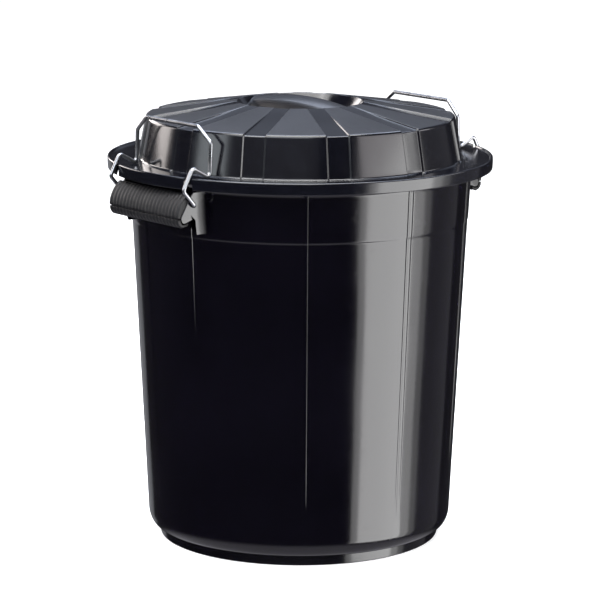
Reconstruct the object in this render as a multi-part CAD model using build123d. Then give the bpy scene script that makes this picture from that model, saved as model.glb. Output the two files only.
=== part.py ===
from build123d import *
import math
import os

# Round moulded bin with a clamp-on domed lid, two sprung-wire clasps and two padded side grips.
# Millimetres. Origin at the centre of the foot ring's bottom, +Z up, grips and clasps on +X and -X.

# Tub: foot ring, tapered wall, upper band and a rim that flares out just under the lid's skirt
FOOT_R = 165.8
FOOT_H = 12.0
FOOT_WALL = 3.8
BASE_R = 169.7
CORNER_Z = 32.0
WALL_R_LOW = 180.2
BAND_Z = 381.0
WALL_R_HIGH = 197.7
BAND_STEP = 0.7
FLARE_Z = 431.5
FLARE_R = 201.0
FLARE_TOP_Z = 445.0
RIM_R = 209.5
RIM_Z = 448.7
WALL = 2.8
FLOOR_Z = 12.4
FLOOR_T = 3.2

# Vertical beads on the tub wall: angle from +X, and width. A pair of thin beads stands at +-90
BEAD_ANGLES = (12.5, 53.0, 127.0, 167.5, -12.5, -53.0, -127.0, -167.5)
BEAD_W = 4.0
BEAD_PAIR_W = 2.2
BEAD_PAIR_GAP = 6.4
BEAD_PROUD = 0.9
BEAD_PROUD_LOW = 0.25
BEAD_Z_LOW = 42.0

# Lid: brim, skirt, dome and twelve radial channels. The pattern stands turned from the clasps
LID_TURN = 4.6
BRIM_R = 226.5
BRIM_TOP = 452.0
BRIM_T = 3.2
SKIRT_T = 2.8
SKIRT_BOTTOM = 440.4
LIP_TOP = 454.4
DOME_BASE_R = 191.0
DOME_EDGE_R = 181.2
DOME_EDGE_Z = 501.6
CROWN_R = 74.5
CROWN_Z = 518.0
TOP_Z = 523.5
DOME_WALL = 4.6
CHANNELS = 12
CHANNEL_DEPTH = 2.0
CHANNEL_HALF_OUT = 13.5
CHANNEL_HALF_IN = 9.9
CHANNEL_R_IN = 74.7
SPIGOT_R = 196.8
SPIGOT_T = 2.4
SPIGOT_Z = 441.0

# Finger wells either side of the lid's carrying bar
WELL_FLOOR_Z = 490.0
WELL_FLOOR_R = 56.0
BAR_CREST_R = 30.0
BAR_END_Z = 516.4
BAR_SHOULDER = (18.0, 517.5)
BAR_SIDE = (22.6, 509.5)
BAR_FOOT = (24.8, 498.5)
BAR_HALF_LOW = 25.5
WELL_SKIN = 2.8

# Notches in the skirt where the clasp legs seat
NOTCH_IN = 62.5
NOTCH_OUT = 73.6
NOTCH_R = 221.2

# Lugs moulded on the tub, the web between them, and the grip halves
LUG_IN = 62.2
LUG_OUT = 66.2
PIVOT_X = 207.0
PIVOT_Z = 421.7
WIRE_R = 2.25
PIVOT_CLEARANCE = 0.08
GRIP_HALF = 66.0
GRIP_RIBS = 21
GRIP_PITCH = 6.25
GRIP_RIB_W = 3.3
GRIP_RIB_H = 0.8

# Clasp wire, in one leg's plane and across the top
LEG_Y = 69.9
HOOK_END_Y = 58.6
TOP_Y = 49.3
WIRE_KNEE = (223.5, 440.3)
WIRE_HUMP = (210.6, 465.2)
WIRE_DIP = (186.4, 452.3)
WIRE_BEND = (184.8, 491.6)
WIRE_TOP = (187.3, 508.3)
WIRE_BEND_R = 4.2
HOOK_BEND_R = 3.4


def face_rz(points):
    """Closed face in the XZ plane. A point of four numbers is an arc: its middle, then its end."""
    edges = []
    last = points[0]
    for p in list(points[1:]) + [points[0]]:
        if len(p) == 4:
            edges.append(ThreePointArc((last[0], 0, last[1]), (p[0], 0, p[1]), (p[2], 0, p[3])))
            last = (p[2], p[3])
        elif math.dist(last, p[:2]) > 1e-6:
            edges.append(Line((last[0], 0, last[1]), (p[0], 0, p[1])))
            last = p
    return make_face(edges)


def turned(points):
    """Solid of revolution about Z from a closed profile of (radius, height)."""
    return revolve(face_rz(points), Axis.Z, 360)


def slab(points, y_low, y_high):
    """Prism along Y from a closed profile of (x, z)."""
    return Pos(0, y_high, 0) * extrude(face_rz(points), amount=y_high - y_low, dir=(0, -1, 0))


def wall_r(z):
    """Outer radius of the tapered wall below the band."""
    return WALL_R_LOW + (WALL_R_HIGH - WALL_R_LOW) * (z - CORNER_Z) / (BAND_Z - CORNER_Z)


def cavity():
    """Inside of the tub, open at the top."""
    return turned([
        (0, FLOOR_Z + FLOOR_T),
        (BASE_R - 3.5, FLOOR_Z + FLOOR_T),
        (WALL_R_LOW - 6.6, CORNER_Z - 13.0, WALL_R_LOW - WALL, CORNER_Z),
        (WALL_R_HIGH - WALL + 0.2, BAND_Z),
        (FLARE_R - WALL, FLARE_Z),
        (FLARE_R - WALL + 2.5, FLARE_Z + 9.2, RIM_R - 3.9, RIM_Z),
        (RIM_R - 3.9, RIM_Z + 20),
        (0, RIM_Z + 20),
    ])


def tub_shell():
    """Foot ring, floor, wall, band and flared rim in one moulding."""
    outer = turned([
        (0, FLOOR_Z),
        (FOOT_R - FOOT_WALL, FLOOR_Z),
        (FOOT_R - FOOT_WALL, 0),
        (FOOT_R - 1.0, 0),
        (FOOT_R - 0.3, 0.3, FOOT_R, 1.0),
        (FOOT_R + 1.2, FOOT_H),
        (BASE_R, FOOT_H + 0.4),
        (BASE_R + 7.3, FOOT_H + 7.2, WALL_R_LOW, CORNER_Z),
        (WALL_R_HIGH, BAND_Z),
        (WALL_R_HIGH + BAND_STEP, BAND_Z + 0.6),
        (FLARE_R, FLARE_Z),
        (FLARE_R + 2.3, FLARE_Z + 8.0, RIM_R, FLARE_TOP_Z),
        (RIM_R, RIM_Z),
        (0, RIM_Z),
    ])
    return outer - cavity()


def bead_skin():
    """Thin skin outside the wall, deeper towards the top, from which the beads are cut."""
    return turned([
        (wall_r(BEAD_Z_LOW) - 0.6, BEAD_Z_LOW),
        (wall_r(BEAD_Z_LOW) + BEAD_PROUD_LOW, BEAD_Z_LOW),
        (WALL_R_HIGH + BEAD_PROUD, BAND_Z - 0.4),
        (WALL_R_HIGH + BAND_STEP + BEAD_PROUD, BAND_Z + 0.8),
        (FLARE_R + BEAD_PROUD, FLARE_Z),
        (FLARE_R + BEAD_PROUD, FLARE_Z + 7.5),
        (FLARE_R - 0.6, FLARE_Z + 7.5),
        (FLARE_R - 0.6, FLARE_Z),
        (WALL_R_HIGH - 0.6, BAND_Z),
    ])


def beads():
    """The vertical beads as strips of the skin."""
    skin = bead_skin()
    strips = []
    for angle in BEAD_ANGLES:
        strips.append(Rot(0, 0, angle) * Pos(190, 0, 240) * Box(40, BEAD_W, 420))
    for angle in (90.0, -90.0):
        for side in (-1, 1):
            y = side * BEAD_PAIR_GAP / 2
            strips.append(Rot(0, 0, angle) * Pos(190, y, 240) * Box(40, BEAD_PAIR_W, 420))
    return [skin & strip for strip in strips]


# Outline of a lug, from the wall out to the rounded nose under the grip
LUG = [
    (184.0, 388.0),
    (202.6, 388.0),
    (204.5, 402.5),
    (204.9, 406.6, 208.4, 406.8),
    (217.0, 402.9),
    (222.6, 403.0, 224.0, 407.6),
    (222.5, 412.0),
    (210.6, 432.0),
    (207.0, 437.0),
    (184.0, 437.0),
]

# Web that joins the two lugs behind the grip
WEB = [
    (217.0, 402.9),
    (222.6, 403.0, 224.0, 407.6),
    (222.5, 412.0),
    (210.6, 432.0),
    (206.8, 430.3),
    (218.6, 410.4),
    (218.4, 407.6),
    (215.6, 405.8),
]

# Upper and lower halves of the grip, and the crests of their ribs
GRIP_UPPER = [
    (210.7, 432.05),
    (212.0, 435.4),
    (214.6, 435.9),
    (224.6, 424.6, 229.0, 410.6),
    (228.6, 408.5),
    (224.0, 408.5),
    (222.6, 412.05),
]
GRIP_UPPER_RIB = [
    (213.2, 434.6),
    (215.1, 436.2),
    (225.3, 425.0, 229.8, 410.6),
    (229.2, 409.1),
    (225.6, 409.1),
    (220.0, 422.0),
]
GRIP_LOWER = [
    (224.15, 407.9),
    (228.4, 407.9),
    (226.6, 401.2, 221.0, 397.8),
    (213.6, 399.4),
    (213.6, 404.0),
    (217.0, 402.7),
    (222.75, 402.85, 224.15, 407.5),
]
GRIP_LOWER_RIB = [
    (225.6, 407.3),
    (229.0, 407.3),
    (227.2, 400.8, 221.2, 397.0),
    (214.6, 398.5),
    (214.6, 401.0),
    (222.0, 400.6),
]


def lugs_and_web(sign):
    """Two pierced lugs and the web between them, on the +X or -X side."""
    tool = cavity()
    hole_r = WIRE_R + PIVOT_CLEARANCE
    solid = slab(WEB, -LUG_IN, LUG_IN)
    for side in (-1, 1):
        low, high = sorted((side * LUG_IN, side * LUG_OUT))
        hole = Pos(PIVOT_X, (low + high) / 2, PIVOT_Z) * Rot(90, 0, 0) * Cylinder(hole_r, 12)
        solid = solid + (slab(LUG, low, high) - tool - hole)
    return solid if sign > 0 else Rot(0, 0, 180) * solid


def tub():
    """The whole tub moulding."""
    body = tub_shell()
    for bead in beads():
        body = body + bead
    for sign in (1, -1):
        body = body + lugs_and_web(sign)
    return body


def rib_places():
    """Y position of each grip rib."""
    return [(i - (GRIP_RIBS - 1) / 2) * GRIP_PITCH for i in range(GRIP_RIBS)]


def grip(section, rib_section, sign):
    """One half of a grip: a pad across the lugs with ribs that run down its slope."""
    pad = slab(section, -GRIP_HALF, GRIP_HALF)
    for y in rib_places():
        pad = pad + slab(rib_section, y - GRIP_RIB_W / 2, y + GRIP_RIB_W / 2)
    return pad if sign > 0 else Rot(0, 0, 180) * pad


def dome_profile(drop):
    """Outline of the dome above the brim, lowered and drawn in by a wall thickness."""
    slope = (CROWN_Z - DOME_EDGE_Z - 0.2) / (DOME_EDGE_R - 1.8 - CROWN_R)
    crown = CROWN_Z - drop + slope * 4 if drop else TOP_Z + 3
    return [
        (0, BRIM_TOP - 30),
        (DOME_BASE_R - drop, BRIM_TOP - 30),
        (DOME_BASE_R - drop, BRIM_TOP),
        (DOME_EDGE_R + 0.4 - drop, DOME_EDGE_Z - 1.8 - drop),
        (DOME_EDGE_R - 0.3 - drop, DOME_EDGE_Z - 0.4 - drop, DOME_EDGE_R - 1.8 - drop, DOME_EDGE_Z + 0.2 - drop),
        (CROWN_R - 4, CROWN_Z - drop + slope * 4),
        (CROWN_R - 4.2, crown + 0.1),
        (0, crown + 0.1),
    ]


def bar(inset):
    """The rounded bar across the wells, arched along its length, thinner by a wall where hollow."""
    arch = (CROWN_R ** 2 + (TOP_Z - BAR_END_Z) ** 2) / (2 * (TOP_Z - BAR_END_Z))
    crest = TOP_Z - inset
    x, z = BAR_SHOULDER[0] - inset * 0.6, BAR_SHOULDER[1] - inset * 0.8
    mid = crest - (BAR_CREST_R - math.sqrt(BAR_CREST_R ** 2 - x * x / 4))
    side = (BAR_SIDE[0] - inset * 0.93, BAR_SIDE[1] - inset * 0.35)
    foot = (BAR_FOOT[0] - inset, BAR_FOOT[1])
    low = (BAR_HALF_LOW - inset, WELL_FLOOR_Z - 25)
    section = face_rz([
        (-low[0], low[1]),
        low,
        foot,
        (side[0], side[1], x, z),
        (x / 2, mid, 0, crest),
        (-x / 2, mid, -x, z),
        (-side[0], side[1], -foot[0], foot[1]),
    ])
    axis = Axis((0, 0, TOP_Z - arch), (1, 0, 0))
    return revolve(section.rotate(axis, -14), axis, 28)


def wells(grow):
    """The two D-shaped finger wells as a solid, grown by the skin for the underside."""
    cup = turned([
        (0, WELL_FLOOR_Z - grow),
        (WELL_FLOOR_R - 3 + grow, WELL_FLOOR_Z - grow),
        (WELL_FLOOR_R - 0.8 + grow, WELL_FLOOR_Z + 0.9 - grow, WELL_FLOOR_R + grow, WELL_FLOOR_Z + 3),
        (CROWN_R + grow, CROWN_Z),
        (CROWN_R + grow + 2, CROWN_Z + 14),
        (0, CROWN_Z + 14),
    ])
    return cup - bar(grow)


def channel_tool():
    """Skin of the dome that a channel takes away, before it is cut to width."""
    shell = turned(dome_profile(0)) - turned(dome_profile(CHANNEL_DEPTH))
    keep = turned([
        (CHANNEL_R_IN, BRIM_TOP + 0.2),
        (DOME_BASE_R + 5, BRIM_TOP + 0.2),
        (DOME_BASE_R + 5, TOP_Z + 5),
        (CHANNEL_R_IN, TOP_Z + 5),
    ])
    return shell & keep


def channel_plan():
    """Tapered strip in plan, tall enough to pass through the dome's skin."""
    outline = make_face(Polyline(
        (CHANNEL_R_IN - 2, -CHANNEL_HALF_IN, BRIM_TOP - 5),
        (DOME_EDGE_R + 14, -CHANNEL_HALF_OUT, BRIM_TOP - 5),
        (DOME_EDGE_R + 14, CHANNEL_HALF_OUT, BRIM_TOP - 5),
        (CHANNEL_R_IN - 2, CHANNEL_HALF_IN, BRIM_TOP - 5),
        close=True,
    ))
    return extrude(outline, amount=90, dir=(0, 0, 1))


def lid():
    """Domed lid in one moulding."""
    brim_low = BRIM_TOP - BRIM_T
    plate = turned([
        (DOME_BASE_R - DOME_WALL / 2, brim_low),
        (BRIM_R - SKIRT_T, brim_low),
        (BRIM_R - SKIRT_T, SKIRT_BOTTOM),
        (BRIM_R - 0.4, SKIRT_BOTTOM),
        (BRIM_R, LIP_TOP - 1.6),
        (BRIM_R - 0.5, LIP_TOP - 0.5),
        (BRIM_R - 1.6, LIP_TOP),
        (BRIM_R - 2.6, LIP_TOP),
        (BRIM_R - 4.2, BRIM_TOP),
        (DOME_BASE_R - DOME_WALL / 2, BRIM_TOP),
    ])
    spigot = turned([
        (SPIGOT_R - SPIGOT_T, SPIGOT_Z),
        (SPIGOT_R, SPIGOT_Z),
        (SPIGOT_R, brim_low),
        (SPIGOT_R - SPIGOT_T, brim_low),
    ])
    outer = turned(dome_profile(0))
    hollow = turned(dome_profile(DOME_WALL)) - wells(WELL_SKIN)
    below = Pos(0, 0, brim_low - 50) * Cylinder(300, 100)
    dome = outer - wells(0) - hollow - below
    strip = channel_tool() & channel_plan()
    for i in range(CHANNELS):
        dome = dome - Rot(0, 0, 360 / CHANNELS * i) * strip
    shape = Rot(0, 0, LID_TURN) * (dome + plate + spigot)
    edge = turned([(NOTCH_R, 430), (BRIM_R + 8, 430), (BRIM_R + 8, 465), (NOTCH_R, 465)])
    for sx in (-1, 1):
        for sy in (-1, 1):
            y = sy * (NOTCH_IN + NOTCH_OUT) / 2
            shape = shape - (edge & Pos(sx * 220, y, 448) * Box(60, NOTCH_OUT - NOTCH_IN, 50))
    return shape


def rounded_path(points, radii):
    """Straight runs through the points, with an arc of the stated radius at each inner one."""
    pts = [Vector(*p) for p in points]
    edges = []
    start = pts[0]
    for i in range(1, len(pts) - 1):
        into = (pts[i] - pts[i - 1]).normalized()
        away = (pts[i + 1] - pts[i]).normalized()
        turn = math.radians(into.get_angle(away))
        cut = radii[i - 1] * math.tan(turn / 2)
        first = pts[i] - into * cut
        second = pts[i] + away * cut
        inward = (away - into).normalized()
        middle = pts[i] + inward * (radii[i - 1] * (1 / math.cos(turn / 2) - 1))
        edges.append(Line(start, first))
        edges.append(ThreePointArc(first, middle, second))
        start = second
    edges.append(Line(start, pts[-1]))
    return edges


def clasp(sign):
    """Bent wire clasp: hooks in the lugs, knees over the lip, dips on the brim, bar above the dome."""
    half = [
        (PIVOT_X, HOOK_END_Y, PIVOT_Z),
        (PIVOT_X, LEG_Y, PIVOT_Z),
        (WIRE_KNEE[0], LEG_Y, WIRE_KNEE[1]),
        (WIRE_HUMP[0], LEG_Y, WIRE_HUMP[1]),
        (WIRE_DIP[0], LEG_Y, WIRE_DIP[1]),
        (WIRE_BEND[0], LEG_Y, WIRE_BEND[1]),
        (WIRE_TOP[0], TOP_Y, WIRE_TOP[1]),
    ]
    points = half + [(x, -y, z) for x, y, z in reversed(half)]
    radii = [HOOK_BEND_R] + [WIRE_BEND_R] * 4 + [WIRE_BEND_R * 1.3] * 2
    radii = radii[:6] + radii[:6][::-1]
    path = Wire(rounded_path(points, radii))
    section = Plane(origin=points[0], z_dir=(0, 1, 0)) * Circle(WIRE_R)
    wire = sweep(section, path=path)
    return wire if sign > 0 else Rot(0, 0, 180) * wire


def main():
    os.makedirs("parts", exist_ok=True)
    shapes = {
        "tub": tub(),
        "lid": lid(),
        "clasp_right": clasp(1),
        "clasp_left": clasp(-1),
        "grip_upper_right": grip(GRIP_UPPER, GRIP_UPPER_RIB, 1),
        "grip_upper_left": grip(GRIP_UPPER, GRIP_UPPER_RIB, -1),
        "grip_lower_right": grip(GRIP_LOWER, GRIP_LOWER_RIB, 1),
        "grip_lower_left": grip(GRIP_LOWER, GRIP_LOWER_RIB, -1),
    }
    for name, shape in shapes.items():
        export_step(shape, f"parts/{name}.step")


main()
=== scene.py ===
import bmesh
import bpy
import math
from mathutils import Matrix, Vector


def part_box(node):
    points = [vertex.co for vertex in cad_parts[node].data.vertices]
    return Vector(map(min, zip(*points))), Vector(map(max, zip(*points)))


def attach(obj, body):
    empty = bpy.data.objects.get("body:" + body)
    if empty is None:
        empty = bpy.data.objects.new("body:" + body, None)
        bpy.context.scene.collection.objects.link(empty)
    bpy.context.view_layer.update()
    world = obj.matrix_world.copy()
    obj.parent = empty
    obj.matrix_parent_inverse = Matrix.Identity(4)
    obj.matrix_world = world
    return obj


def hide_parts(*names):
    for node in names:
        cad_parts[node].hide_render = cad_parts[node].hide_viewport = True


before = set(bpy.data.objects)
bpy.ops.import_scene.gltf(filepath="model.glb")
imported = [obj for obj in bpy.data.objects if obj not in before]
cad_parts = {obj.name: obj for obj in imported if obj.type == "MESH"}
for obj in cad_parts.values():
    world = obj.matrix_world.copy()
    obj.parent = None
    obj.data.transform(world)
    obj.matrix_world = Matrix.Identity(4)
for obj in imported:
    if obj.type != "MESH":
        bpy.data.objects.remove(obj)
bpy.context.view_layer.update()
MM = 0.001
scene = bpy.context.scene
lid_lo, lid_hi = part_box("lid")
tub_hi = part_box("tub")[1]
BRIM_R = (lid_hi.x - lid_lo.x) / 2 / MM
TOP_Z = lid_hi.z / MM
RIM_Z = tub_hi.z / MM
LID_TURN = math.radians(4.6)
CAM_AZ = -38.9


# ---------------------------------------------------------------- mesh helpers
def piece(name, verts, faces, body, mat, stands_for=(), sharp=32.0, finish=None):
    """A mesh piece in millimetres that rides on a body."""
    me = bpy.data.meshes.new(name)
    me.from_pydata([(x * MM, y * MM, z * MM) for x, y, z in verts], [], faces)
    if finish:
        me.attributes.new("finish", "FLOAT", "POINT").data.foreach_set("value", finish)
    bm = bmesh.new()
    bm.from_mesh(me)
    bmesh.ops.remove_doubles(bm, verts=bm.verts, dist=2e-6)
    bmesh.ops.dissolve_degenerate(bm, edges=bm.edges, dist=1e-6)
    bmesh.ops.recalc_face_normals(bm, faces=bm.faces)
    bm.to_mesh(me)
    bm.free()
    for p in me.polygons:
        p.use_smooth = True
    me.set_sharp_from_angle(angle=math.radians(sharp))
    me.materials.append(mat)
    ob = bpy.data.objects.new(name, me)
    scene.collection.objects.link(ob)
    wn = ob.modifiers.new("weighted", "WEIGHTED_NORMAL")
    wn.keep_sharp = True
    wn.weight = 80
    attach(ob, body)
    if stands_for:
        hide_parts(*stands_for)
    return ob


def loft(loops, verts, faces, closed=True, cap_first=False, cap_last=False):
    """Quads between successive loops of equal length, added to verts and faces."""
    n = len(loops[0])
    base = len(verts)
    for loop in loops:
        verts.extend(loop)
    for k in range(len(loops) - 1):
        for i in range(n if closed else n - 1):
            j = (i + 1) % n
            a = base + k * n
            faces.append((a + i, a + j, a + n + j, a + n + i))
    for on, k in ((cap_first, 0), (cap_last, len(loops) - 1)):
        if on:
            loop = loops[k]
            c = len(verts)
            verts.append(tuple(sum(p[i] for p in loop) / n for i in range(3)))
            for i in range(n):
                faces.append((base + k * n + i, base + k * n + (i + 1) % n, c))


def fillet(points, radii, n=6, closed=False):
    """Corner points rounded to arcs. Works in 2-D and 3-D. A radius of 0 keeps the corner."""
    pts = [Vector(p) for p in points]
    m = len(pts)
    out = []
    for i, p in enumerate(pts):
        r = radii[i]
        if r <= 0 or (not closed and i in (0, m - 1)):
            out.append(p)
            continue
        into = (p - pts[i - 1]).normalized()
        away = (pts[(i + 1) % m] - p).normalized()
        turn = into.angle(away)
        if turn < 1e-3:
            out.append(p)
            continue
        cut = r * math.tan(turn / 2)
        centre = p + (away - into).normalized() * (r / math.cos(turn / 2))
        a, b = p - into * cut - centre, p + away * cut - centre
        for k in range(n + 1):
            t = k / n
            s = math.sin(turn)
            out.append(centre + a * (math.sin((1 - t) * turn) / s) + b * (math.sin(t * turn) / s))
    return [tuple(v) for v in out]


def dense(points, step):
    """The polyline with runs longer than step divided."""
    out = [points[0]]
    for a, b in zip(points, points[1:]):
        k = max(1, int(math.dist(a, b) / step + 0.5))
        for i in range(1, k + 1):
            out.append(tuple(x + (y - x) * i / k for x, y in zip(a, b)))
    return out


def smooth(x):
    x = min(1.0, max(0.0, x))
    return x * x * (3 - 2 * x)


# ---------------------------------------------------------------- materials
def plastic(name, base, rough, wave, grain, scuff=0.5, seed=0.0, pads=0.0, ior=1.5):
    """Moulded plastic: slow wall waviness, fine skin grain, handling haze and faint scuffs.

    pads is the extra roughness where a mesh's finish attribute falls to 0.
    """
    m = bpy.data.materials.new(name)
    m.use_nodes = True
    nt = m.node_tree
    nt.nodes.clear()
    new, link = nt.nodes.new, nt.links.new
    out, bsdf = new("ShaderNodeOutputMaterial"), new("ShaderNodeBsdfPrincipled")
    link(bsdf.outputs[0], out.inputs[0])
    coord = new("ShaderNodeTexCoord")
    move = new("ShaderNodeMapping")
    move.inputs["Location"].default_value = (seed, seed * 1.7, seed * 0.6)
    link(coord.outputs["Object"], move.inputs["Vector"])

    def noise(scale, detail=3.0, rough_n=0.5, stretch=None):
        t = new("ShaderNodeTexNoise")
        t.inputs["Scale"].default_value = scale
        t.inputs["Detail"].default_value = detail
        t.inputs["Roughness"].default_value = rough_n
        if stretch:
            mp = new("ShaderNodeMapping")
            mp.inputs["Scale"].default_value = stretch
            link(move.outputs[0], mp.inputs["Vector"])
            link(mp.outputs[0], t.inputs["Vector"])
        else:
            link(move.outputs[0], t.inputs["Vector"])
        return t

    def ramp(src, lo, hi, a, b):
        r = new("ShaderNodeMapRange")
        r.inputs["From Min"].default_value, r.inputs["From Max"].default_value = lo, hi
        r.inputs["To Min"].default_value, r.inputs["To Max"].default_value = a, b
        link(src, r.inputs["Value"])
        return r.outputs[0]

    def math_node(op, a, b):
        n = new("ShaderNodeMath")
        n.operation = op
        for s, v in ((0, a), (1, b)):
            if isinstance(v, (int, float)):
                n.inputs[s].default_value = v
            else:
                link(v, n.inputs[s])
        return n.outputs[0]

    haze = noise(9.0, 4.0, 0.6)
    spots = noise(60.0, 5.0, 0.65)
    streak = noise(14.0, 4.0, 0.6, (1.0, 1.0, 0.12))
    scratch = noise(120.0, 2.0, 0.4, (1.0, 0.06, 1.0))
    colour = new("ShaderNodeMix")
    colour.data_type = "RGBA"
    colour.inputs["A"].default_value = (*(c * 0.82 for c in base), 1)
    colour.inputs["B"].default_value = (*(c * 1.3 for c in base), 1)
    mottle = math_node("ADD", haze.outputs["Fac"], ramp(spots.outputs["Fac"], 0.3, 0.7, -0.15, 0.15))
    link(ramp(mottle, 0.35, 0.7, 0, 1), colour.inputs["Factor"])
    link(colour.outputs["Result"], bsdf.inputs["Base Color"])
    r1 = ramp(haze.outputs["Fac"], 0.35, 0.7, rough * 0.85, rough * 1.25)
    r2 = ramp(spots.outputs["Fac"], 0.35, 0.75, 0.0, rough * 0.35 * scuff)
    r3 = ramp(streak.outputs["Fac"], 0.5, 0.8, 0.0, rough * 0.6 * scuff)
    r4 = ramp(scratch.outputs["Fac"], 0.66, 0.74, 0.0, 0.10 * scuff)
    total = math_node("ADD", math_node("ADD", r1, r2), math_node("ADD", r3, r4))
    if pads:
        mark = new("ShaderNodeAttribute")
        mark.attribute_name = "finish"
        total = math_node("ADD", total, ramp(mark.outputs["Fac"], 0.0, 1.0, pads, 0.0))
    link(total, bsdf.inputs["Roughness"])
    slow = noise(7.5, 1.0, 0.4)
    fine = noise(900.0, 2.0, 0.6)
    b1 = new("ShaderNodeBump")
    b1.inputs["Strength"].default_value = 1.0
    b1.inputs["Distance"].default_value = wave
    link(slow.outputs["Fac"], b1.inputs["Height"])
    b2 = new("ShaderNodeBump")
    b2.inputs["Strength"].default_value = 1.0
    b2.inputs["Distance"].default_value = grain
    link(fine.outputs["Fac"], b2.inputs["Height"])
    link(b1.outputs[0], b2.inputs["Normal"])
    link(b2.outputs[0], bsdf.inputs["Normal"])
    bsdf.inputs["IOR"].default_value = ior
    return m


def zinc(name):
    """Bright zinc-plated spring wire with a fine drawn grain and dulled patches."""
    m = bpy.data.materials.new(name)
    m.use_nodes = True
    nt = m.node_tree
    nt.nodes.clear()
    new, link = nt.nodes.new, nt.links.new
    out, bsdf = new("ShaderNodeOutputMaterial"), new("ShaderNodeBsdfPrincipled")
    link(bsdf.outputs[0], out.inputs[0])
    coord = new("ShaderNodeTexCoord")
    patch, fine = new("ShaderNodeTexNoise"), new("ShaderNodeTexNoise")
    patch.inputs["Scale"].default_value = 70.0
    patch.inputs["Detail"].default_value = 5.0
    fine.inputs["Scale"].default_value = 1500.0
    for t in (patch, fine):
        link(coord.outputs["Object"], t.inputs["Vector"])
    col = new("ShaderNodeMix")
    col.data_type = "RGBA"
    col.inputs["A"].default_value = (0.22, 0.23, 0.25, 1)
    col.inputs["B"].default_value = (0.37, 0.37, 0.38, 1)
    link(patch.outputs["Fac"], col.inputs["Factor"])
    link(col.outputs["Result"], bsdf.inputs["Base Color"])
    rr = new("ShaderNodeMapRange")
    rr.inputs["From Min"].default_value, rr.inputs["From Max"].default_value = 0.3, 0.7
    rr.inputs["To Min"].default_value, rr.inputs["To Max"].default_value = 0.24, 0.36
    link(patch.outputs["Fac"], rr.inputs["Value"])
    link(rr.outputs[0], bsdf.inputs["Roughness"])
    bump = new("ShaderNodeBump")
    bump.inputs["Strength"].default_value = 1.0
    bump.inputs["Distance"].default_value = 0.000003
    link(fine.outputs["Fac"], bump.inputs["Height"])
    link(bump.outputs[0], bsdf.inputs["Normal"])
    bsdf.inputs["Metallic"].default_value = 1.0
    return m


M_TUB = plastic("tub_plastic_black", (0.0008, 0.0006, 0.0018), 0.11, 0.0008, 0.000005, seed=3.1)
M_LID = plastic("lid_plastic_black", (0.0015, 0.0016, 0.0030), 0.13, 0.0007, 0.000008, seed=8.4, pads=0.24)
M_GRIP = plastic("grip_plastic_charcoal", (0.0040, 0.0038, 0.0048), 0.48, 0.0, 0.00003,
                 scuff=0.7, seed=1.3, ior=1.38)
M_WIRE = zinc("clasp_wire_zinc")

# ---------------------------------------------------------------- tub
CORNER_Z, BAND_Z, FLARE_Z = 32.0, 381.0, 431.5
WALL_LOW, WALL_HIGH = 180.2, 197.7
BEADS = [(a, 0.0, 2.0) for a in (12.5, 53.0, 127.0, 167.5, -12.5, -53.0, -127.0, -167.5)]
BEADS += [(a, s * 3.2, 1.1) for a in (90.0, -90.0) for s in (-1, 1)]


def tub_columns():
    """Angles of the tub's columns, closer across each bead."""
    near = []
    for a, off, half in BEADS:
        for d in (-0.7, -0.1, 0.0, 0.08, 0.16, 0.26, 0.34, 0.42, 0.55, 1.3):
            near += [a + math.degrees((off + side * (half + d)) / 190.0) for side in (-1, 1)]
    spread = [-180 + 2.0 * i for i in range(180)]
    keep = [c for c in spread if all(abs(c - n) > 0.4 for n in near)]
    return sorted(math.radians(c) for c in keep + near)


def bead_height(angle, z):
    """How far the beads lift the wall at this place."""
    if z < 34 or z > 440:
        return 0.0
    rise = 0.12 + 0.78 * min(1.0, (z - 42.0) / 340.0)
    rise *= smooth((440.0 - z) / 5.0)
    rise *= smooth((z - 44.0) / 60.0)
    best = 0.0
    for a, off, half in BEADS:
        d = (angle - math.radians(a) + math.pi) % (2 * math.pi) - math.pi
        lateral = abs(d * 190.0 - off)
        best = max(best, smooth((half + 0.42 - lateral) / 0.52))
    return best * rise


def tub_profile():
    """(radius, height, beads) from the underside's centre, over the outside and rim, to the floor."""
    foot = fillet([(0, 12.4), (162, 12.4), (162, 0), (165.8, 0), (167.0, 12.2), (169.9, 12.5)],
                  [0, 1.0, 0.8, 1.1, 0.5, 0], 4)
    corner = []
    for i in range(13):
        t = i / 12
        ang = math.radians(-88 + 85 * t)
        r = 169.9 + 10.3 * (math.cos(ang) - 0.035) / 0.964
        corner.append((r, CORNER_Z + 19.5 * math.sin(ang) * 1.0005))
    wall = [(WALL_LOW + (WALL_HIGH - WALL_LOW) * (z - CORNER_Z) / (BAND_Z - CORNER_Z), z)
            for z in (36, 40, 45, 50, 60, 80, 110, 150, 190, 230, 270, 310, 345, 368, 378)]
    band = [(197.62, 379.2), (197.74, 380.2), (197.95, 381.0),
            (198.2, 381.8), (198.4, 382.8), (198.54, 384.2)]
    band += [(198.5 + 2.5 * (z - 382) / 49.5, z) for z in (392, 402, 412, 420, 426, 430)]
    rim = fillet([(209.5, 445.2), (209.5, RIM_Z), (205.6, RIM_Z), (204.6, RIM_Z - 2.0)], [0, 1.1, 0.9, 0], 4)
    inside = arc3((204.4, RIM_Z - 2.2), (200.7, 440.7), (198.2, FLARE_Z), 8)
    inside += [(195.1, 381), (186.4, 200), (177.6, 36)]
    inside += arc3((177.4, 32), (173.9, 19.5), (166.4, 15.6), 6) + [(120, 15.6), (40, 15.6)]
    out = [(r, z, 0) for r, z in foot[1:]] + [(r, z, 0) for r, z in corner[1:]]
    out += [(r, z, 1) for r, z in wall + band + FLARE]
    out += [(r, z, 0) for r, z in rim + inside]
    return out


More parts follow.
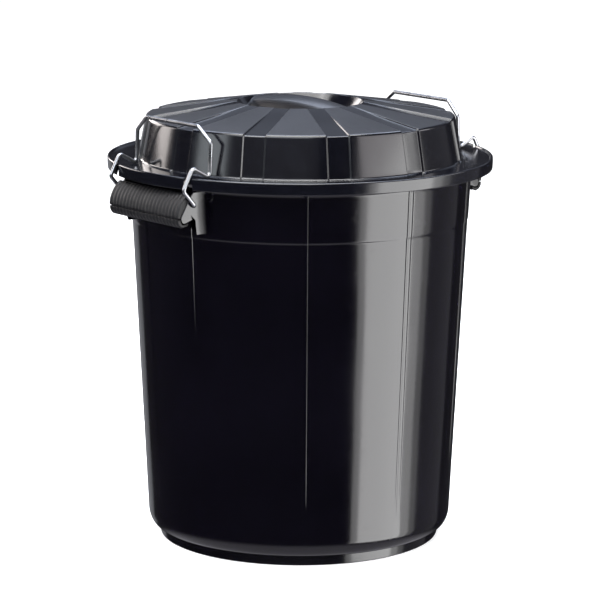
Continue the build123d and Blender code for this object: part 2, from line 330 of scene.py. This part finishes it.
def arc3(a, m, b, n):
    """n + 1 points of the arc through three points."""
    ax, ay, bx, by, cx, cy = *a, *m, *b
    d = 2 * (ax * (by - cy) + bx * (cy - ay) + cx * (ay - by))
    ux = ((ax**2 + ay**2) * (by - cy) + (bx**2 + by**2) * (cy - ay) + (cx**2 + cy**2) * (ay - by)) / d
    uy = ((ax**2 + ay**2) * (cx - bx) + (bx**2 + by**2) * (ax - cx) + (cx**2 + cy**2) * (bx - ax)) / d
    r = math.hypot(ax - ux, ay - uy)
    t0, tm, t1 = (math.atan2(p[1] - uy, p[0] - ux) for p in (a, m, b))
    while tm < t0:
        tm += 2 * math.pi
    while t1 < t0:
        t1 += 2 * math.pi
    if tm > t1:
        t1 -= 2 * math.pi
    turns = [t0 + (t1 - t0) * i / n for i in range(n + 1)]
    return [(ux + r * math.cos(t), uy + r * math.sin(t)) for t in turns]


FLARE = arc3((201.0, FLARE_Z), (203.3, 439.5), (209.5, 445.0), 10)


def make_tub():
    cols = tub_columns()
    loops = []
    for r, z, bead in tub_profile():
        loop = []
        for c in cols:
            rr = r + (bead_height(c, z) if bead else 0.0)
            loop.append((rr * math.cos(c), rr * math.sin(c), z))
        loops.append(loop)
    verts, faces = [], []
    loft(loops, verts, faces, cap_first=True, cap_last=True)
    return piece("tub_body", verts, faces, "tub", M_TUB, ["tub"], sharp=40)


def wall_at(z):
    """Outer radius of the tub at a height near the lugs."""
    if z < FLARE_Z:
        return 198.4 + 2.6 * (z - BAND_Z) / (FLARE_Z - BAND_Z)
    for (r0, z0), (r1, z1) in zip(FLARE, FLARE[1:]):
        if z <= z1:
            return r0 + (r1 - r0) * (z - z0) / (z1 - z0)
    return 209.5


LUG_IN, LUG_OUT, GRIP_HALF = 62.2, 66.2, 66.0
PIVOT, HOLE_R = (207.0, 421.7), 2.34


def outward(outline):
    """Unit normals pointing out of a closed 2-D outline, one at each point."""
    n = len(outline)
    area = sum(p[0] * q[1] - q[0] * p[1] for p, q in zip(outline, outline[1:] + outline[:1]))
    s = 1.0 if area > 0 else -1.0
    normals = []
    for i in range(n):
        a, b = outline[i - 1], outline[(i + 1) % n]
        dx, dz = b[0] - a[0], b[1] - a[1]
        k = math.hypot(dx, dz) or 1.0
        normals.append((dz / k * s, -dx / k * s))
    return normals


def prism(outline, y0, y1, bevel, verts, faces, sign):
    """Prism across Y with its long edges rounded, on the +X or -X side."""
    normals = outward(outline)
    steps = [(0.0, 1.0), (0.3, 0.42), (0.62, 0.1), (1.0, 0.0)]
    rows = [(y0 + bevel * d, bevel * s) for d, s in steps]
    rows += [(y1 - bevel * d, bevel * s) for d, s in reversed(steps)]
    loops = []
    for y, inset in rows:
        loops.append([(sign * (p[0] - nrm[0] * inset), sign * y, p[1] - nrm[1] * inset)
                      for p, nrm in zip(outline, normals)])
    loft(loops, verts, faces, cap_first=True, cap_last=True)


def lug_outline(y):
    """Lug's side view: along the wall, then round the leg and the nose that holds the pivot."""
    wall = [(math.sqrt((wall_at(z) - 1.4) ** 2 - y * y), z) for z in (437, 430, 424, 418, 405, 388)]
    nose = fillet([(202.6, 388), (205.0, 407.0), (217.6, 402.6), (222.0, 402.4),
                   (224.4, 408.6), (210.4, 432.4), (206.6, 437)],
                  [1.2, 2.2, 0.4, 3.2, 3.0, 1.5, 0.6], 5)
    return wall + nose


WEB = [(217.6, 402.8), (222.0, 402.6), (224.2, 408.4), (210.6, 432.0),
       (206.8, 430.3), (218.6, 410.4), (218.4, 407.6), (215.6, 405.8)]


def make_lugs(sign, side):
    """Both lugs of one side, the web between them, and the pivot holes cut through."""
    verts, faces = [], []
    for s in (-1, 1):
        y0, y1 = sorted((s * LUG_IN, s * LUG_OUT))
        prism(lug_outline((LUG_IN + LUG_OUT) / 2), y0, y1, 0.7, verts, faces, sign)
    web = fillet(WEB, [0.5, 3.0, 2.6, 1, 1, 2, 1, 0.5], 4, closed=True)
    prism(web, -LUG_IN - 0.3, LUG_IN + 0.3, 0.2, verts, faces, sign)
    ob = piece("lugs_" + side, verts, faces, "tub", M_TUB, sharp=35)
    me = bpy.data.meshes.new("hole")
    bm = bmesh.new()
    for s in (-1, 1):
        place = Matrix.Translation((sign * PIVOT[0] * MM, s * 64.2 * MM, PIVOT[1] * MM))
        bmesh.ops.create_cone(bm, cap_ends=True, segments=40, radius1=HOLE_R * MM, radius2=HOLE_R * MM,
                              depth=7.0 * MM, matrix=place @ Matrix.Rotation(math.pi / 2, 4, "X"))
    bm.to_mesh(me)
    bm.free()
    cutter = bpy.data.objects.new("hole", me)
    scene.collection.objects.link(cutter)
    cut = ob.modifiers.new("hole", "BOOLEAN")
    cut.object, cut.operation, cut.solver = cutter, "DIFFERENCE", "EXACT"
    ob.modifiers.move(1, 0)
    weighted = ob.modifiers["weighted"]
    weighted.show_viewport = False
    done = bpy.data.meshes.new_from_object(ob.evaluated_get(bpy.context.evaluated_depsgraph_get()))
    ob.modifiers.remove(cut)
    weighted.show_viewport = True
    old = ob.data
    ob.data = done
    done.set_sharp_from_angle(angle=math.radians(35))
    bpy.data.meshes.remove(old)
    bpy.data.objects.remove(cutter)
    return ob


# ---------------------------------------------------------------- grips
def grip_piece(name, corners, radii, rib_weight, sign):
    """A ribbed pad. rib_weight says how much of a rib's height stands at a point of the outline."""
    outline = dense(fillet(corners, radii, 5, closed=True), 1.6)
    normals = outward(outline)
    weights = [rib_weight(p, nrm) for p, nrm in zip(outline, normals)]
    ys, pitch, ribs = [], 6.25, 21
    for i in range(ribs):
        c = (i - (ribs - 1) / 2) * pitch
        for d in (-0.5, -0.40, -0.31, -0.25, -0.19, -0.1, 0.0, 0.1, 0.19, 0.25, 0.31, 0.40):
            ys.append((c + d * pitch, smooth((0.31 - abs(d)) / 0.14)))
    ys = [v for v in ys if abs(v[0]) < GRIP_HALF - 1.3]
    rows = [(-GRIP_HALF + d, 0, inset) for d, inset in ((0, 1.0), (0.25, 0.5), (0.7, 0.12), (1.2, 0.0))]
    rows += [(y, h, 0.0) for y, h in ys] + [(-y, h, i) for y, h, i in reversed(rows)]
    loops = []
    for y, h, inset in rows:
        loop = []
        for p, nrm, w in zip(outline, normals, weights):
            off = 0.8 * h * w - inset
            loop.append((sign * (p[0] + nrm[0] * off), sign * y, p[1] + nrm[1] * off))
        loops.append(loop)
    verts, faces = [], []
    loft(loops, verts, faces, cap_first=True, cap_last=True)
    return piece(name, verts, faces, "tub", M_GRIP, [name], sharp=50)


def upper_weight(p, nrm):
    return smooth((nrm[0] - 0.35) / 0.25) * smooth((435.6 - p[1]) / 1.2) * smooth((p[1] - 408.6) / 1.0)


def lower_weight(p, nrm):
    return smooth((nrm[0] * 0.8 - nrm[1] * 0.6 - 0.35) / 0.25) * smooth((407.9 - p[1]) / 0.8)


def make_grips(sign, side):
    """The upper pad over the web, and the lower pad round its tip, with the seam between them."""
    arc = arc3((214.4, 435.7), (224.6, 424.6), (229.0, 411.0), 12)
    upper = [(210.85, 432.2), (212.0, 435.3)] + arc + [(228.6, 408.6), (224.3, 408.6), (224.0, 409.6)]
    radii = [0.3, 0.8, 0.8] + [0] * (len(arc) - 2) + [0.6, 0.9, 0.3, 0.3]
    grip_piece("grip_upper_" + side, upper, radii, upper_weight, sign)
    arc = arc3((228.4, 407.2), (226.4, 400.9), (221.0, 397.9), 8)
    lower = [(224.5, 407.9), (228.2, 407.9)] + arc
    lower += [(214.2, 399.3), (213.8, 400.4), (213.9, 403.4), (217.4, 402.3), (222.2, 402.1)]
    radii = [0.3, 0.5] + [0] * len(arc) + [0.6, 0.6, 0.3, 0.3, 0.8]
    grip_piece("grip_lower_" + side, lower, radii, lower_weight, sign)


# ---------------------------------------------------------------- lid
CROWN_R, CROWN_Z, EDGE = 74.5, 518.0, (181.25, 501.52)
CONE = (EDGE[1] - CROWN_Z) / (EDGE[0] - CROWN_R)
WELL_Z, WELL_R, DEPTH = 490.0, 56.0, 2.0
ARCH = (CROWN_R**2 + 7.1**2) / 14.2
CREST_R = 30


def cone_z(r):
    """Height of the dome's top between its crown and its edge."""
    return CROWN_Z + CONE * (r - CROWN_R)


def well_r(z):
    """Radius of the well's sloping wall at a height."""
    return WELL_R + (z - WELL_Z - 3) * (CROWN_R - WELL_R) / (CROWN_Z - WELL_Z - 3)


def lid_rows():
    """Pairs of (radius, height) for pads and for channels, from the well's floor out to the flat brim."""
    foot = fillet([(30, WELL_Z), (well_r(WELL_Z), WELL_Z), (well_r(512), 512)], [0, 5.0, 0], 6)[1:-1]
    bowl = [(2, WELL_Z), (12, WELL_Z), (24, WELL_Z), (36, WELL_Z), (45, WELL_Z)] + foot
    bowl += [(well_r(z), z) for z in (497, 502, 507, 512)]
    rows = [(p, p) for p in bowl]
    low = 516.17
    pads = fillet([(well_r(512), 512), (CROWN_R, CROWN_Z), (84, cone_z(84))], [0, 1.7, 0], 7)[1:-1]
    cuts = fillet([(well_r(511), 511), (well_r(low), low), (84, cone_z(84) - DEPTH)], [0, 1.7, 0], 7)[1:-1]
    rows += [(a, tuple(u + (v - u) * 0.25 for u, v in zip(a, b))) for a, b in zip(pads, cuts)]
    top = [(r, cone_z(r)) for r in (80, 86, 95, 108, 122, 136, 150, 161, 170, 175.5)]
    bend = fillet([(170, cone_z(170)), EDGE, (191.0, 452.0), (200, 452.0)], [0, 4.2, 2.6, 0], 8)[1:-1]
    edge, base = bend[:9], bend[9:]
    side = [tuple(u + (v - u) * t for u, v in zip(edge[-1], base[0]))
            for t in (0.03, 0.15, 0.35, 0.55, 0.75, 0.92)]
    outer = [(p, 0.25 + 0.75 * smooth((p[0] - 78) / 62)) for p in top + edge + side]
    outer += [(p, 1.0 - smooth((i + 1) / len(base))) for i, p in enumerate(base)] + [((196.0, 452.0), 0.0)]
    pts = [p for p, _ in outer]
    for i, (p, share) in enumerate(outer):
        a, b = pts[max(0, i - 1)], pts[min(len(pts) - 1, i + 1)]
        dr, dz = b[0] - a[0], b[1] - a[1]
        k = math.hypot(dr, dz)
        rows.append((p, (p[0] + dz / k * DEPTH * share, p[1] - dr / k * DEPTH * share)))
    return rows


def sector_stations(r):
    """Angles across one 30 degree sector with a channel at its middle, and the channel depth there."""
    r = max(r, 73.0)
    half = 10.0 + 3.5 * min(1.0, max(0.0, (r - 77.5) / 104.0))
    flank = [(-1.5, 1.0), (-1.2, 0.95), (-0.85, 0.78), (-0.45, 0.46), (-0.1, 0.2), (0.25, 0.05), (0.55, 0.0)]
    out = [(math.asin((half - 1.5) * f / r), 1.0) for f in (0.0, 0.35, 0.7, 0.88)]
    out += [(math.asin((half + d) / r), depth) for d, depth in flank]
    last = out[-1][0]
    out += [(last + (math.radians(15) - last) * f, 0.0) for f in (0.04, 0.15, 0.35, 0.6, 0.82, 1.0)]
    return [(-a, d) for a, d in reversed(out[1:])] + out[:-1]


def make_lid():
    """The whole lid. Its finish attribute is 1 where glossy and falls toward 0 on the satin pads."""
    verts, faces, loops, finish = [], [], [], []
    for (pr, pz), (cr, cz) in lid_rows():
        loop = []
        for s in range(12):
            for ang, depth in sector_stations(pr):
                t = math.radians(30 * s) + ang + LID_TURN
                r, z = pr + (cr - pr) * depth, pz + (cz - pz) * depth
                loop.append((r * math.cos(t), r * math.sin(t), z))
                satin = smooth((pr - 73) / 2) * smooth((EDGE[0] - 0.8 - pr) / 1.6)
                finish.append(1.0 - satin * (1.0 - depth))
        loops.append(loop)
    loft(loops, verts, faces, cap_first=True)
    finish.append(1.0)
    bar(verts, faces)
    finish += [0.25] * (len(verts) - len(finish))
    under = [(188.6, 448.8), (186.6, 452), (177.8, 495.6), (175.2, 497.9), (120, 506.4),
             (79, 512.6), (74.6, 511.8), (57.0, 487.9), (54.5, 487.2), (30, 487.2)]
    under = fillet(under, [0, 1, 2, 2, 0, 1.5, 1.5, 1.5, 1.5, 0], 3)
    round_angles = [math.radians(2 * i) for i in range(180)]
    loops = [[(r * math.cos(t), r * math.sin(t), z) for t in round_angles] for r, z in under]
    loft(loops, verts, faces, cap_last=True)
    brim(verts, faces)
    finish += [1.0] * (len(verts) - len(finish))
    return piece("lid_shell", verts, faces, "lid", M_LID, ["lid"], sharp=40, finish=finish)


def turn(p):
    """A point turned with the lid."""
    c, s = math.cos(LID_TURN), math.sin(LID_TURN)
    return (p[0] * c - p[1] * s, p[0] * s + p[1] * c, p[2])


def bar(verts, faces):
    """The rounded carrying bar, arched along its length, with its ends run into the well's wall."""
    crest = [math.radians(a) for a in (0, 5, 10, 15, 20, 25, 30, 34)]
    half = [(CREST_R * math.sin(a), TOP_Z - CREST_R + CREST_R * math.cos(a)) for a in crest]
    half += arc3((17.6, 517.6), (22.5, 509.5), (24.8, 498.5), 8)[1:]
    half += [(25.1, 495.0), (25.3, 493.2), (25.9, 491.6), (27.2, 490.5), (29.0, 489.9)]
    section = [(-x, z) for x, z in reversed(half[1:])] + half
    rows = []
    for i in range(61):
        f = math.sin(math.radians(-90 + 3 * i))
        row = []
        for x, z in section:
            floor = max(0.0, min(1.0, (z - 491.6) / 7.0))
            zz = z
            for _ in range(4):
                y = f * math.sqrt((well_r(max(zz, 490.0)) + 0.9) ** 2 - x * x)
                zz = z - (ARCH - math.sqrt(ARCH**2 - y * y)) * floor
            row.append(turn((x, y, zz)))
        rows.append(row)
    loft(rows, verts, faces, closed=False)


NOTCH_R, NOTCH_IN, NOTCH_OUT = 221.2, 62.5, 73.6


def brim(verts, faces):
    """Flat brim, raised lip, skirt with its four notches, and the underside with its spigot."""
    grow = BRIM_R - 226.5
    top = [(196, 452), (205, 452), (214, 452), (220.2, 452), (221.2, 452), (222.0, 452.02), (222.55, 452.25)]
    lip = [(223.1, 452.9), (223.6, 453.7), (224.1, 454.2), (224.7, 454.4), (225.3, 454.35), (225.9, 454.05),
           (226.35, 453.5), (226.5, 452.7)]
    skirt = [(226.45, 448), (226.2, 442), (226.1, 441.1), (225.7, 440.55), (225.1, 440.4), (224.4, 440.5),
             (223.95, 441.1), (223.7, 447.2), (223.2, 448.4), (222.2, 448.8), (221.2, 448.8)]
    spigot = [(200, 448.8), (197.6, 448.6), (196.9, 447.8), (196.8, 442), (196.4, 441.2), (195.6, 441.0),
              (194.8, 441.2), (194.4, 442), (194.3, 447.9), (193.7, 448.7), (188.2, 448.8)]
    cut_from, cut_to = 4, 25
    marks = [(NOTCH_IN, False), (NOTCH_IN, True), (66.5, True), (70.0, True),
             (NOTCH_OUT, True), (NOTCH_OUT, False)]
    even = [1.5 * i for i in range(240)]
    cols = [(deg, None) for deg in even if abs(abs((deg + 90) % 180 - 90) - 17.8) > 2.3]
    for base, flip in ((0, 1), (180, -1), (180, 1), (360, -1)):
        for n, (y, cut) in enumerate(marks[::flip]):
            mid = base + flip * math.degrees(math.asin(y / 224.0)) + (1e-4 * n)
            cols.append((mid, (base, flip, y, cut)))
    cols.sort(key=lambda c: c[0])
    loops = []
    for j, (r, z) in enumerate(top + lip + skirt + spigot):
        loop = []
        for deg, line in cols:
            rr, zz, a = r + (grow if r > 221.3 else 0.0), z, math.radians(deg)
            if line:
                base, flip, y, cut = line
                if cut and cut_from <= j <= cut_to:
                    rr, zz = NOTCH_R, min(452.0, max(448.8, z))
                a = math.radians(base) + flip * math.asin(y / max(rr, NOTCH_R))
            loop.append((rr * math.cos(a), rr * math.sin(a), zz))
        loops.append(loop)
    loft(loops, verts, faces)


# ---------------------------------------------------------------- clasps
def make_clasp(sign, side):
    """Bent wire: hooks in the lugs, knees over the lip, dips on the brim, bar above the dome."""
    half = [(207.0, 58.6, 421.7), (207.0, 69.9, 421.7), (223.5, 69.9, 440.3), (210.6, 69.9, 465.2),
            (186.4, 69.9, 452.3), (184.8, 69.9, 491.6), (187.3, 49.3, 508.3)]
    pts = half + [(x, -y, z) for x, y, z in reversed(half)]
    radii = [0, 3.4, 4.2, 4.2, 4.2, 5.46, 5.46]
    path = fillet(pts, radii + radii[::-1], 10)
    path = dense(path, 6.0)
    path = [p for i, p in enumerate(path) if i == 0 or math.dist(p, path[i - 1]) > 0.02]
    ring, wire_r = 24, 2.25
    round_angles = [2 * math.pi * q / ring for q in range(ring)]
    loops = []
    up = Vector((1, 0, 0))
    for i, p in enumerate(path):
        a, b = Vector(path[max(0, i - 1)]), Vector(path[min(len(path) - 1, i + 1)])
        t = (b - a).normalized()
        up = (up - t * up.dot(t)).normalized()
        v = t.cross(up)
        ends = [(0.0, 0.25), (0.12, 0.6), (0.35, 0.86), (0.8, 1.0)]
        if i == 0:
            steps = ends
        elif i == len(path) - 1:
            steps = [(-d, s) for d, s in reversed(ends)]
        else:
            steps = [(0.0, 1.0)]
        for d, s in steps:
            c = Vector(p) + t * d
            loops.append([tuple(c + (up * math.cos(w) + v * math.sin(w)) * (wire_r * s))
                          for w in round_angles])
    loops = [[(sign * x, sign * y, z) for x, y, z in loop] for loop in loops]
    verts, faces = [], []
    loft(loops, verts, faces, cap_first=True, cap_last=True)
    clasp = "clasp_" + side
    return piece("wire_" + side, verts, faces, clasp, M_WIRE, [clasp], sharp=60)


make_tub()
make_lid()
for sign, side in ((1, "right"), (-1, "left")):
    make_lugs(sign, side)
    make_grips(sign, side)
    make_clasp(sign, side)


# ---------------------------------------------------------------- studio
def around(beta, dist, z):
    """A place at an angle to the right of the camera's direction, seen from above."""
    a = math.radians(-90 + CAM_AZ + beta)
    return Vector((dist * math.cos(a), dist * math.sin(a), z))


def softbox(name, beta, dist, z, width, height, radiance, colour=(1, 1, 1), aim=(0, 0, 0.3)):
    """A rectangular light with a given brightness of face, turned toward a point."""
    data = bpy.data.lights.new(name, "AREA")
    data.shape = "RECTANGLE"
    data.size, data.size_y = width, height
    data.energy = radiance * math.pi * width * height
    data.color = colour
    ob = bpy.data.objects.new(name, data)
    ob.location = around(beta, dist, z)
    ob.rotation_mode = "QUATERNION"
    ob.rotation_quaternion = (Vector(aim) - ob.location).to_track_quat("-Z", "Y")
    scene.collection.objects.link(ob)
    return ob


softbox("key_right", 63.2, 2.4, -0.2, 1.62, 2.1, 7.5, aim=(0, 0, -0.2))
softbox("key_feather_left", 41.8, 2.4, -0.2, 0.24, 2.0, 3.0, aim=(0, 0, -0.2))
softbox("key_feather_right", 85.5, 2.4, -0.1, 0.32, 2.3, 3.2, aim=(0, 0, -0.1))
softbox("key_feather_far", 92.5, 2.4, 0.0, 0.28, 2.4, 1.1, aim=(0, 0, 0.0))
softbox("key_right_upper", 61.5, 2.4, 1.22, 1.68, 0.74, 3.6, (1.0, 0.95, 0.98), aim=(0, 0, 1.22))
softbox("right_upper", 97, 2.4, 1.22, 1.1, 0.74, 3.4, (0.97, 0.95, 1.0), aim=(0, 0, 1.22))
softbox("right_spill", 112, 2.4, 0.3, 1.5, 3.0, 0.17, (0.93, 0.92, 1.0), aim=(0, 0, 0.3))
softbox("left_spill", -156, 2.4, 0.0, 1.0, 1.9, 0.34, (0.92, 0.94, 1.0), aim=(0, 0, 0.0))
softbox("front_bank", -22, 2.5, 1.85, 2.9, 0.75, 5.4, (0.88, 0.93, 1.0), aim=(0, 0, 0.45))
softbox("front_glow", -20, 2.52, 1.18, 3.2, 0.75, 0.2, (0.93, 0.92, 1.0), aim=(0, 0, 0.45))
softbox("left_panel", -64, 2.4, 1.05, 1.0, 0.8, 3.9, (0.88, 0.95, 1.0), aim=(0, 0, 0.45))
softbox("warm_left", -132, 2.3, 1.0, 2.2, 0.9, 6.8, (1.0, 0.93, 0.90), aim=(0, 0, 0.45))
softbox("back_wall", 180, 2.4, 1.75, 4.0, 1.3, 0.34, (0.74, 0.82, 1.0), aim=(0, 0, 0.5))
softbox("overhead", 180, 1.0, 2.5, 3.0, 1.2, 6.8, (0.74, 0.82, 1.0), aim=(0, 0, 0.5))
softbox("zenith", 0, 0.25, 2.75, 2.4, 0.55, 18.0, aim=(0, 0, 0.5))
softbox("top_front", -25, 1.05, 2.3, 2.4, 1.35, 7.0, aim=(0, 0, 0.5))

world = bpy.data.worlds.new("studio")
scene.world = world
world.use_nodes = True
wn, wl = world.node_tree.nodes, world.node_tree.links
wn.clear()
w_out, w_ray = wn.new("ShaderNodeOutputWorld"), wn.new("ShaderNodeLightPath")
w_cam, w_mirror = wn.new("ShaderNodeMixShader"), wn.new("ShaderNodeMixShader")
w_soft, w_white, w_room = (wn.new("ShaderNodeBackground") for _ in range(3))
w_soft.inputs["Color"].default_value = (0.55, 0.55, 0.56, 1)
w_white.inputs["Color"].default_value = (1, 1, 1, 1)
# The room as a gloss surface sees it: dark round about, pale table below
w_dir, w_split = wn.new("ShaderNodeTexCoord"), wn.new("ShaderNodeSeparateXYZ")
w_map = wn.new("ShaderNodeMapRange")
w_map.interpolation_type = "SMOOTHSTEP"
w_map.inputs["From Min"].default_value, w_map.inputs["From Max"].default_value = -0.68, -0.42
w_map.inputs["To Min"].default_value, w_map.inputs["To Max"].default_value = 0.75, 0.034
wl.new(w_dir.outputs["Generated"], w_split.inputs[0])
wl.new(w_split.outputs["Z"], w_map.inputs["Value"])
wl.new(w_map.outputs[0], w_room.inputs["Strength"])
w_room.inputs["Color"].default_value = (0.93, 0.91, 1.0, 1)
wl.new(w_ray.outputs["Is Glossy Ray"], w_mirror.inputs[0])
wl.new(w_soft.outputs[0], w_mirror.inputs[1])
wl.new(w_room.outputs[0], w_mirror.inputs[2])
wl.new(w_ray.outputs["Is Camera Ray"], w_cam.inputs[0])
wl.new(w_mirror.outputs[0], w_cam.inputs[1])
wl.new(w_white.outputs[0], w_cam.inputs[2])
wl.new(w_cam.outputs[0], w_out.inputs[0])

floor_me = bpy.data.meshes.new("floor")
bm = bmesh.new()
bmesh.ops.create_grid(bm, x_segments=1, y_segments=1, size=6.0)
bm.to_mesh(floor_me)
bm.free()
floor = bpy.data.objects.new("floor", floor_me)
floor.location = (0, 0, -0.0003)
scene.collection.objects.link(floor)
fm = bpy.data.materials.new("floor_white")
fm.use_nodes = True
fb = fm.node_tree.nodes["Principled BSDF"]
fb.inputs["Base Color"].default_value = (0.9, 0.9, 0.9, 1)
fb.inputs["Roughness"].default_value = 0.9
fb.inputs["Emission Color"].default_value = (1, 1, 1, 1)
fb.inputs["Emission Strength"].default_value = 0.55
floor_me.materials.append(fm)
floor.visible_glossy = False

cam_data = bpy.data.cameras.new("camera")
cam_data.sensor_width = 36.0
cam_data.lens = 183.94
cam_data.shift_x = 0.0006
cam_data.clip_end = 50
cam = bpy.data.objects.new("camera", cam_data)
k = BRIM_R / 226.5
cam.location = around(0, 3.5707 * k, 0.9822 * k)
pitch = 0.1944
heading = math.radians(CAM_AZ)
look = Vector((-math.sin(heading) * math.cos(pitch), math.cos(heading) * math.cos(pitch), -math.sin(pitch)))
cam.rotation_mode = "QUATERNION"
cam.rotation_quaternion = look.to_track_quat("-Z", "Y") @ Matrix.Rotation(0.004, 3, "Z").to_quaternion()
scene.collection.objects.link(cam)
scene.camera = cam
scene.view_settings.view_transform = "Standard"
